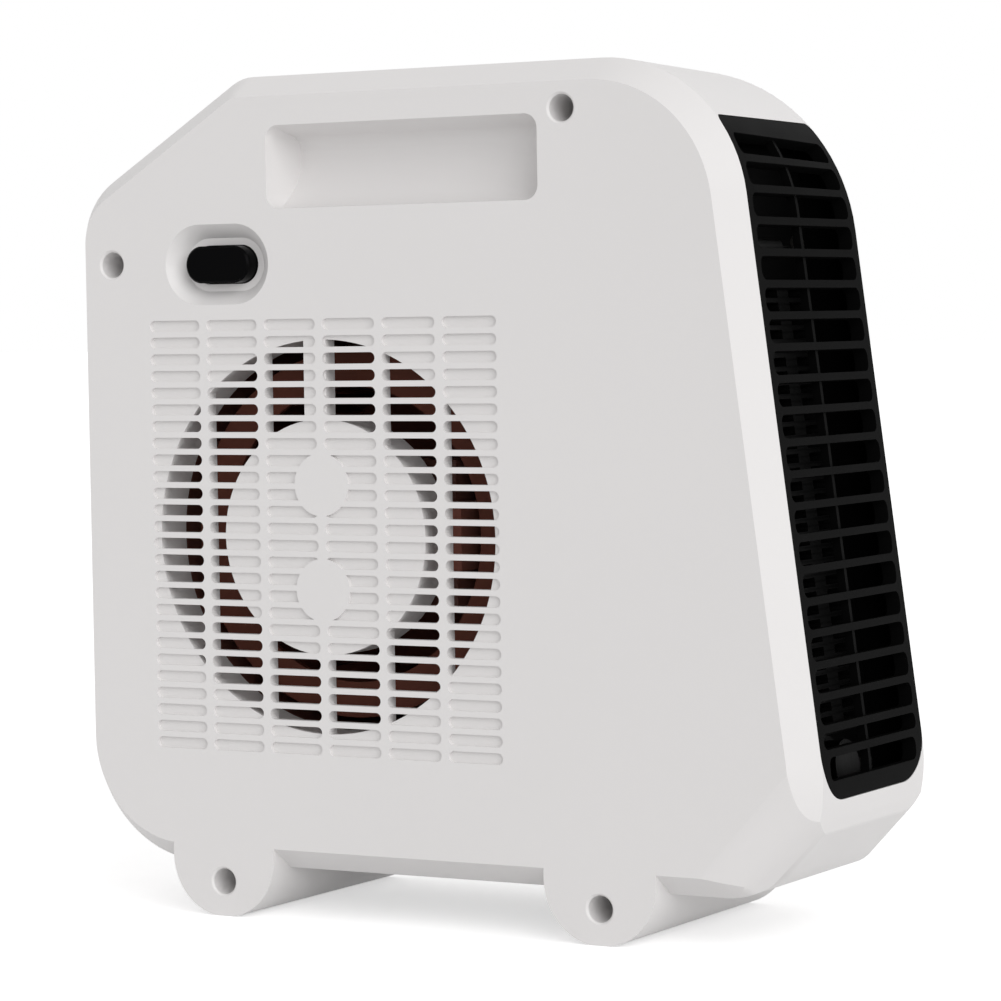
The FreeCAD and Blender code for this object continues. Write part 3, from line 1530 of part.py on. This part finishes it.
for i, (x, z) in enumerate(heater_screw_places):
    frame_tools.append(cylinder(
        "frame_hole_%d" % i, S.small_screw_radius + S.screw_slack, S.frame_thickness + 2,
        x, S.frame_depth - 1, z, TOWARDS_REAR,
    ))
thermostat_z = -(window_half_height + frame_half_height) / 2
frame_guard_rise = (S.total_height - S.frame_guard_drop - heater_z) / cos_of(S.front_lean)
frame_guard = box(
    "frame_guard", -frame_width / 2, S.frame_depth, 0,
    frame_width, S.frame_guard_thickness, frame_guard_rise,
)
frame_solid = fused("frame_solid", [frame_block, frame_guard])
heater_frame = node(
    lean_back(cut("frame_cut", frame_solid, fused("frame_tools", frame_tools))), "heater_frame",
)
ptc_bars = node(lean_back(group("bar_set", bars)), "ptc_bars")
heater_terminals = node(lean_back(group("terminal_set", terminals)), "heater_terminals")

fin_rows = int(2 * float(window_half_height) / float(S.fin_pitch)) - 1
fins = []
for i in range(int(SIZES["ptc_bar_count"]) + 1):
    start = -window_width / 2 + i * (fin_width + S.ptc_bar_width)
    fin_block = box(
        "fin_block_%d" % i, start, stack_depth, -window_half_height,
        fin_width, stack_thickness, 2 * window_half_height,
    )
    passages = []
    for row in range(fin_rows):
        rise = (row - (fin_rows - 1) / 2) * S.fin_pitch - S.fin_slot / 2
        passages.append(box(
            "fin_slot_%d_%d" % (i, row), start + S.fin_edge, stack_depth - 1, rise,
            fin_width - 2 * S.fin_edge, stack_thickness + 2, S.fin_slot,
        ))
    fins.append(cut("fin_%d" % i, fin_block, group("fin_slots_%d" % i, passages)))
ptc_fins = node(lean_back(group("fin_set", fins)), "ptc_fins")


def leaning_screw(i, x, z):
    """Heater screw, head on the frame's front; built upright, then leaned with the frame."""
    return small_screw("heater_screw_%d" % i, S.heater_screw_length, x, S.frame_depth, z, TOWARDS_REAR)


heater_screws = node(lean_back(group("heater_screw_set", [
    leaning_screw(i, x, z) for i, (x, z) in enumerate(heater_screw_places)
])), "heater_screws")

# Thermostat and thermal fuse on the frame's front

thermostat_top = S.frame_depth - S.thermostat_flange_thickness - S.thermostat_height
thermostat = node(lean_back(fused("thermostat_solid", [
    cylinder("thermostat_flange", S.thermostat_flange_radius, S.thermostat_flange_thickness,
             0, S.frame_depth - S.thermostat_flange_thickness, thermostat_z, TOWARDS_REAR),
    cylinder("thermostat_can", S.thermostat_radius, S.thermostat_height + 0.5,
             0, thermostat_top, thermostat_z, TOWARDS_REAR),
])), "thermostat")
fuse_y = S.frame_depth - S.fuse_radius - S.gap
thermal_fuse = node(lean_back(fused("fuse_solid", [
    cylinder("fuse_can", S.fuse_radius, S.fuse_length, -S.fuse_length / 2, fuse_y, -thermostat_z),
    cylinder("fuse_lead", S.fuse_radius / 4, S.fuse_length * 2, -S.fuse_length, fuse_y, -thermostat_z),
])), "thermal_fuse")

# Terminal block with its screw, and the cord gland

block_x = cover_inner_x - S.block_boss_height - S.block_thickness
block_tools = [cylinder(
    "block_hole", S.small_screw_radius + S.screw_slack, S.block_thickness + 2, block_x - 1, block_y, block_z,
)]
for side in (-1, 1):
    pole_y = block_y + side * S.block_length / 3
    block_tools.append(cylinder(
        "block_pole_%d" % (side + 1), S.block_pole_radius, S.block_pole_depth + 1,
        block_x - 1, pole_y, block_z,
    ))
terminal_block = node(cut(
    "block_cut",
    box("block_solid", block_x, block_y - S.block_length / 2, block_z - S.block_height / 2,
        S.block_thickness, S.block_length, S.block_height),
    fused("block_tools", block_tools),
), "terminal_block")
terminal_block_screw = node(small_screw(
    "block_screw", S.block_thickness + S.block_boss_height + 1, block_x, block_y, block_z, TOWARDS_X,
), "terminal_block_screw")

gland_outer_y = S.body_length / 2
gland_flange_y = gland_outer_y - S.wall - S.gap - S.gland_flange_thickness
gland_start_y = gland_flange_y - S.gland_tail
gland_solid = fused("gland_solid", [
    cylinder("gland_neck", S.gland_radius, gland_outer_y - gland_start_y,
             0, gland_start_y, gland_z, TOWARDS_REAR),
    cylinder("gland_flange", S.gland_flange_radius, S.gland_flange_thickness, 0, gland_flange_y, gland_z,
             TOWARDS_REAR),
])
gland_bore = cylinder(
    "gland_bore", S.gland_bore_radius, gland_outer_y - gland_start_y + 2,
    0, gland_start_y - 1, gland_z, TOWARDS_REAR,
)
cord_gland = node(cut("gland_cut", gland_solid, gland_bore), "cord_gland")

# Recompute, check and write

doc.recompute()
faults = []
for obj in doc.Objects:
    if "Invalid" in obj.State or "Error" in obj.State:
        faults.append("%s is in state %s" % (obj.Label, obj.State))
for obj in NODES:
    if obj.Shape.isNull() or not obj.Shape.isValid():
        faults.append("%s has no valid shape" % obj.Label)
if faults:
    raise RuntimeError("; ".join(faults))
os.makedirs("parts", exist_ok=True)
for obj in NODES:
    obj.Shape.exportStep("parts/%s.step" % obj.Label)
    bounds = obj.Shape.BoundBox
    print("%s: %d solids, %.1f mm3, X %.2f to %.2f, Y %.2f to %.2f, Z %.2f to %.2f" % (
        obj.Label, len(obj.Shape.Solids), obj.Shape.Volume,
        bounds.XMin, bounds.XMax, bounds.YMin, bounds.YMax, bounds.ZMin, bounds.ZMax))
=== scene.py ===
import json
import math

import bmesh
import bpy
from mathutils import Matrix, Vector


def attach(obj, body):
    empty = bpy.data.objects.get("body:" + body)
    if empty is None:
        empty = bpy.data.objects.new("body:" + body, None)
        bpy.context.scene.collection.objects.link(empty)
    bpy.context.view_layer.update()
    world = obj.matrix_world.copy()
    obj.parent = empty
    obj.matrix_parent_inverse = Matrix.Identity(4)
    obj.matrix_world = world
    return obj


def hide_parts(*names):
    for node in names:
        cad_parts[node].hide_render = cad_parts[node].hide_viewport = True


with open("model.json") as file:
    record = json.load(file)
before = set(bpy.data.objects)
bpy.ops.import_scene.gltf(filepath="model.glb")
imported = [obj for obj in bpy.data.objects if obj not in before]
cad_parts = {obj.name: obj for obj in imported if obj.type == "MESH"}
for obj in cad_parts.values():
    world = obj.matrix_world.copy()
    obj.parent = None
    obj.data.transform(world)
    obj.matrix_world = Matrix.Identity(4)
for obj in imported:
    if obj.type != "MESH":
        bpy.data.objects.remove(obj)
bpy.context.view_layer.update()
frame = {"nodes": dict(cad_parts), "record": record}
nodes = frame["nodes"]
record = frame["record"]
slot_of = {entry["node"]: entry["material_slot"] for entry in record["subparts"]}
body_of = {node: body for body, members in record["behaviour"]["bodies"].items() for node in members}

# Camera, from the photo's perspective: pixels, millimetres on the sensor, and metres

IMAGE_SIDE = 1001
FOCAL_PIXELS = 3699.7
SENSOR_WIDTH = 36.0
CAMERA_PLACE = Vector((-0.9537, -0.5532, 0.1769))
CAMERA_FORWARD = Vector((0.8648, 0.4997, -0.0488))
CAMERA_UP = Vector((0.0503, 0.0105, 0.9987))

# Light and floor

WHITE = (1.0, 1.0, 1.0, 1.0)
AMBIENT_COLOUR = (1.0, 0.993, 0.992, 1.0)
AMBIENT_STRENGTH = 0.6
SUN_TOWARDS = Vector((0.55, 0.75, -0.37))
SUN_STRENGTH = 1.4
SUN_SPREAD = math.radians(50.0)
FLOOR_SIDE = 40.0
FLOOR_COLOUR = (0.85, 0.85, 0.85)
FLOOR_ROUGHNESS = 0.9
FLOOR_GLOW = 0.5

# Edges of the outer mouldings

CASING_EDGE = 0.0002
PANEL_EDGE = 0.0003
BUTTON_EDGE = 0.0002
EDGE_SEGMENTS = 2
SHARP_ANGLE = math.radians(24.0)
MERGE_DISTANCE = 1e-6

# Inner faces of the casing halves, painted near-black as painted shade: their least distance from the
# middle, and how far they face it

INSIDE_FROM = 0.033
FACING_INWARD = 0.3


# Materials

class Nodes:
    """A material's node tree with short calls for the nodes used here."""

    def __init__(self, name):
        self.material = bpy.data.materials.new(name)
        self.material.use_nodes = True
        self.tree = self.material.node_tree
        self.shader = self.tree.nodes["Principled BSDF"]
        self.place = self.tree.nodes.new("ShaderNodeTexCoord").outputs["Object"]

    def link(self, source, target):
        self.tree.links.new(source, target)

    def noise(self, scale, detail=3.0, rough=0.55, stretch=None):
        node = self.tree.nodes.new("ShaderNodeTexNoise")
        node.inputs["Scale"].default_value = scale
        node.inputs["Detail"].default_value = detail
        node.inputs["Roughness"].default_value = rough
        place = self.place
        if stretch:
            mapping = self.tree.nodes.new("ShaderNodeMapping")
            mapping.inputs["Scale"].default_value = stretch
            self.link(place, mapping.inputs["Vector"])
            place = mapping.outputs["Vector"]
        self.link(place, node.inputs["Vector"])
        return node.outputs["Fac"]

    def bands(self, pitch, axis):
        """Bands along an axis, one each pitch: the texture repeats every pi / (10 * scale)."""
        node = self.tree.nodes.new("ShaderNodeTexWave")
        node.wave_type = "BANDS"
        node.bands_direction = axis
        node.inputs["Scale"].default_value = math.pi / (10 * pitch)
        self.link(self.place, node.inputs["Vector"])
        return node.outputs["Fac"]

    def ramp(self, factor, low, high, start=0.3, end=0.7):
        node = self.tree.nodes.new("ShaderNodeValToRGB")
        node.color_ramp.elements[0].position = start
        node.color_ramp.elements[1].position = end
        node.color_ramp.elements[0].color = low
        node.color_ramp.elements[1].color = high
        self.link(factor, node.inputs["Fac"])
        return node.outputs["Color"]

    def span(self, factor, low, high):
        node = self.tree.nodes.new("ShaderNodeMapRange")
        node.inputs["To Min"].default_value = low
        node.inputs["To Max"].default_value = high
        self.link(factor, node.inputs["Value"])
        return node.outputs["Result"]

    def bump(self, height, strength, distance):
        node = self.tree.nodes.new("ShaderNodeBump")
        node.inputs["Strength"].default_value = strength
        node.inputs["Distance"].default_value = distance
        self.link(height, node.inputs["Height"])
        self.link(node.outputs["Normal"], self.shader.inputs["Normal"])

    def colour(self, factor, base, spread):
        """Base colour that drifts by a small share either way with the factor."""
        low = tuple(c * (1 - spread) for c in base) + (1.0,)
        high = tuple(min(c * (1 + spread), 1.0) for c in base) + (1.0,)
        self.link(self.ramp(factor, low, high), self.shader.inputs["Base Color"])

    def roughness(self, factor, low, high):
        self.link(self.span(factor, low, high), self.shader.inputs["Roughness"])

    def set(self, socket, value):
        self.shader.inputs[socket].default_value = value


# Detail of the materials: scales per metre, depths in metres, the rest as shares

CLOUD_SCALE = 14.0
GLOSS_SCALE = 60.0
GLOSS_SPREAD = 0.05
GRAIN_DEPTH = 0.0002

BRUSH_SCALE = 900.0
BRUSH_STRETCH = 40
BRUSH_TINT = 0.12
BRUSH_GLOSS = (-0.08, 0.12)
BRUSH_RELIEF = 0.15
BRUSH_DEPTH = 0.0001

SHEET_SCALE = 300.0
SHEET_GLOSS = 0.08
SHEET_RELIEF = 0.3
SHEET_DEPTH = 0.0002
SHEET_LINE_SHADE = 0.45
SHEET_LINE_START = 0.05
SHEET_LINE_END = 0.3

PAPER_SCALE = 40.0
PAPER_SPREAD = 0.01


def moulded_plastic(name, base, rough, specular, grain=1400.0, relief=0.05, spread=0.02):
    """Plastic with a fine moulded grain, faint cloudiness and uneven gloss."""
    m = Nodes(name)
    m.colour(m.noise(CLOUD_SCALE), base, spread)
    m.roughness(m.noise(GLOSS_SCALE), rough - GLOSS_SPREAD, rough + GLOSS_SPREAD)
    m.bump(m.noise(grain, detail=2.0), relief, GRAIN_DEPTH)
    m.set("Specular IOR Level", specular)
    return m.material


def worked_metal(name, base, rough, axis):
    """Metal with fine working marks along one axis."""
    m = Nodes(name)
    stretch = [BRUSH_SCALE, BRUSH_SCALE, BRUSH_SCALE]
    stretch["XYZ".index(axis)] = BRUSH_SCALE / BRUSH_STRETCH
    marks = m.noise(1.0, stretch=stretch)
    m.colour(marks, base, BRUSH_TINT)
    m.roughness(marks, rough + BRUSH_GLOSS[0], rough + BRUSH_GLOSS[1])
    m.bump(marks, BRUSH_RELIEF, BRUSH_DEPTH)
    m.set("Metallic", 1.0)
    return m.material


def stacked_sheets(name, base, rough, axis, pitch, metallic):
    """Metal built from thin sheets, with a dark line between them."""
    m = Nodes(name)
    lines = m.bands(pitch, axis)
    dark = tuple(c * SHEET_LINE_SHADE for c in base) + (1.0,)
    shade = m.ramp(lines, dark, base + (1.0,), SHEET_LINE_START, SHEET_LINE_END)
    m.link(shade, m.shader.inputs["Base Color"])
    m.roughness(m.noise(SHEET_SCALE), rough - SHEET_GLOSS, rough + SHEET_GLOSS)
    m.bump(lines, SHEET_RELIEF, SHEET_DEPTH)
    m.set("Metallic", metallic)
    return m.material


# Finishes by the record's slots. Behind the inlet the colours are a lighter brown than in the record, as
# painted light that makes the dim inside look brown. Behind the outlet they are darker than in the record,
# as painted shade that makes the openings look dark

PLASTICS = {
    "white_casing": dict(base=(0.784, 0.77, 0.766), rough=0.46, specular=0.4, relief=0.03, spread=0.006),
    "black_grille": dict(base=(0.0035, 0.0035, 0.0035), rough=0.5, specular=0.012, relief=0.06, spread=0.15),
    "black_button": dict(base=(0.001, 0.001, 0.0012), rough=0.2, specular=0.03, relief=0.01, spread=0.1),
    "dark_plastic": dict(base=(0.0018, 0.0018, 0.0018), rough=0.6, specular=0.02, spread=0.2),
    "board_laminate": dict(base=(0.2, 0.13, 0.045), rough=0.5, specular=0.4, grain=700.0, spread=0.12),
    # brown_wheel, grey_duct and coil_tape: partly the parts' own brown, partly painted light, lighter than
    # the real parts so the dim inside looks brown; grey_duct is painted brown only for this
    "brown_wheel": dict(base=(0.16, 0.055, 0.038), rough=0.5, specular=0.06, spread=0.1),
    "grey_duct": dict(base=(0.3, 0.12, 0.09), rough=0.6, specular=0.05, spread=0.1),
    "coil_tape": dict(base=(0.26, 0.1, 0.075), rough=0.4, specular=0.1, grain=500.0, relief=0.2, spread=0.1),
    "gland_rubber": dict(base=(0.6, 0.6, 0.59), rough=0.7, specular=0.3, grain=900.0, spread=0.05),
}
METALS = {
    "shaft_steel": dict(base=(0.5, 0.5, 0.51), rough=0.3, axis="X"),
    "plated_steel": dict(base=(0.55, 0.55, 0.53), rough=0.35, axis="Z"),
    "bearing_bronze": dict(base=(0.55, 0.38, 0.18), rough=0.4, axis="X"),
    # screw_steel, thermostat_can and fuse_can: much darker than such metal, as painted shade behind the
    # outlet
    "screw_steel": dict(base=(0.1, 0.095, 0.09), rough=0.45, axis="X"),
    "terminal_brass": dict(base=(0.55, 0.4, 0.17), rough=0.35, axis="Z"),
    "thermostat_can": dict(base=(0.007, 0.007, 0.007), rough=0.5, axis="Z"),
    "fuse_can": dict(base=(0.007, 0.007, 0.007), rough=0.5, axis="X"),
}
SHEET_STACKS = {
    # core_steel: painted light brown as painted light for the dim inside, not the steel's own colour
    "core_steel": dict(base=(0.26, 0.1, 0.075), rough=0.45, axis="X", pitch=0.0005, metallic=0.1),
    # fin_aluminium: near-black, as painted shade behind the outlet
    "fin_aluminium": dict(base=(0.009, 0.009, 0.009), rough=0.6, axis="Z", pitch=0.002, metallic=0.9),
}
MAKERS = ((moulded_plastic, PLASTICS), (worked_metal, METALS), (stacked_sheets, SHEET_STACKS))
FINISHES = {name: make(name, **values) for make, group in MAKERS for name, values in group.items()}
# Near-black colour for the inner faces of the white casing, as painted shade
PAINTED_INNER_SHADE = moulded_plastic("painted_inner_shade", (0.004, 0.004, 0.004), 0.7, 0.01, spread=0.2)


def paint(obj, slot):
    obj.data.materials.clear()
    obj.data.materials.append(FINISHES[slot])


for node, obj in nodes.items():
    paint(obj, slot_of[node])


# Outer mouldings: the CAD shapes with rounded edges

def new_object(name, data):
    obj = bpy.data.objects.new(name, data)
    bpy.context.scene.collection.objects.link(obj)
    return obj


def merged_copy(node, name):
    """New object with a copy of a node's mesh, its doubled points joined."""
    mesh = nodes[node].data.copy()
    mesh.name = name
    if mesh.has_custom_normals:
        mesh.attributes.remove(mesh.attributes["custom_normal"])
    work = bmesh.new()
    work.from_mesh(mesh)
    bmesh.ops.remove_doubles(work, verts=work.verts, dist=MERGE_DISTANCE)
    work.to_mesh(mesh)
    work.free()
    return new_object(name, mesh)


def mark_sharp(mesh, angle):
    """Smooth faces, with edges over an angle kept sharp."""
    work = bmesh.new()
    work.from_mesh(mesh)
    for face in work.faces:
        face.smooth = True
    for edge in work.edges:
        edge.smooth = len(edge.link_faces) == 2 and edge.calc_face_angle() < angle
    work.to_mesh(mesh)
    work.free()


def paint_inner_shade(mesh):
    """Paint the inner faces of a casing half near-black, as painted shade."""
    mesh.materials.append(PAINTED_INNER_SHADE)
    for face in mesh.polygons:
        side = math.copysign(1.0, face.center.x)
        if abs(face.center.x) > INSIDE_FROM and face.normal.x * side < -FACING_INWARD:
            face.material_index = 1


def dress(node, edge_radius):
    """Piece that stands for a node: the same shape with its sharp edges rounded."""
    piece = merged_copy(node, node + "_moulding")
    mark_sharp(piece.data, SHARP_ANGLE)
    paint(piece, slot_of[node])
    edges = piece.modifiers.new("edges", "BEVEL")
    edges.width = edge_radius
    edges.segments = EDGE_SEGMENTS
    edges.limit_method = "ANGLE"
    edges.angle_limit = SHARP_ANGLE
    edges.use_clamp_overlap = True
    piece.modifiers.new("shading", "WEIGHTED_NORMAL").keep_sharp = True
    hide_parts(node)
    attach(piece, body_of[node])
    return piece


for half in ("main_housing", "side_cover"):
    paint_inner_shade(dress(half, CASING_EDGE).data)
dress("outlet_grille", PANEL_EDGE)
dress("power_button", BUTTON_EDGE)


# Stage: pale floor, soft light and camera

def shows_white(tree):
    """Factor that is 1 for camera, mirror and glass rays."""
    path = tree.nodes.new("ShaderNodeLightPath")
    seen = path.outputs["Is Camera Ray"]
    for name in ("Is Glossy Ray", "Is Transmission Ray"):
        either = tree.nodes.new("ShaderNodeMath")
        either.operation = "MAXIMUM"
        tree.links.new(seen, either.inputs[0])
        tree.links.new(path.outputs[name], either.inputs[1])
        seen = either.outputs["Value"]
    return seen


def studio_world():
    """Even light from all round, before a background that looks white."""
    world = bpy.data.worlds.new("studio")
    bpy.context.scene.world = world
    world.use_nodes = True
    tree = world.node_tree
    ambient = tree.nodes["Background"]
    ambient.inputs["Color"].default_value = AMBIENT_COLOUR
    ambient.inputs["Strength"].default_value = AMBIENT_STRENGTH
    white = tree.nodes.new("ShaderNodeBackground")
    white.inputs["Color"].default_value = WHITE
    mix = tree.nodes.new("ShaderNodeMixShader")
    tree.links.new(shows_white(tree), mix.inputs["Fac"])
    tree.links.new(ambient.outputs["Background"], mix.inputs[1])
    tree.links.new(white.outputs["Background"], mix.inputs[2])
    tree.links.new(mix.outputs["Shader"], tree.nodes["World Output"].inputs["Surface"])


def floor_paper():
    """Pale paper that looks white where it isn't in shadow."""
    m = Nodes("floor_paper")
    m.colour(m.noise(PAPER_SCALE), FLOOR_COLOUR, PAPER_SPREAD)
    m.set("Roughness", FLOOR_ROUGHNESS)
    m.set("Specular IOR Level", 0.0)
    shine = m.tree.nodes.new("ShaderNodeEmission")
    shine.inputs["Strength"].default_value = FLOOR_GLOW
    add = m.tree.nodes.new("ShaderNodeAddShader")
    mix = m.tree.nodes.new("ShaderNodeMixShader")
    m.link(m.shader.outputs["BSDF"], add.inputs[0])
    m.link(shine.outputs["Emission"], add.inputs[1])
    m.link(shows_white(m.tree), mix.inputs["Fac"])
    m.link(m.shader.outputs["BSDF"], mix.inputs[1])
    m.link(add.outputs["Shader"], mix.inputs[2])
    m.link(mix.outputs["Shader"], m.tree.nodes["Material Output"].inputs["Surface"])
    return m.material


def floor():
    mesh = bpy.data.meshes.new("floor")
    s = FLOOR_SIDE / 2
    mesh.from_pydata([(-s, -s, 0), (s, -s, 0), (s, s, 0), (-s, s, 0)], [], [(0, 1, 2, 3)])
    mesh.materials.append(floor_paper())
    new_object("floor", mesh)


def soft_sun():
    data = bpy.data.lights.new("key", "SUN")
    data.energy = SUN_STRENGTH
    data.angle = SUN_SPREAD
    new_object("key", data).rotation_euler = SUN_TOWARDS.to_track_quat("-Z", "Y").to_euler()


def photo_camera():
    data = bpy.data.cameras.new("camera")
    data.sensor_fit = "HORIZONTAL"
    data.sensor_width = SENSOR_WIDTH
    data.lens = FOCAL_PIXELS / IMAGE_SIDE * SENSOR_WIDTH
    forward = CAMERA_FORWARD.normalized()
    right = forward.cross(CAMERA_UP).normalized()
    up = right.cross(forward)
    turn = Matrix((right, up, -forward)).transposed().to_4x4()
    camera = new_object("camera", data)
    camera.matrix_world = Matrix.Translation(CAMERA_PLACE) @ turn
    bpy.context.scene.camera = camera


studio_world()
floor()
soft_sun()
photo_camera()
bpy.context.scene.view_settings.view_transform = "Standard"
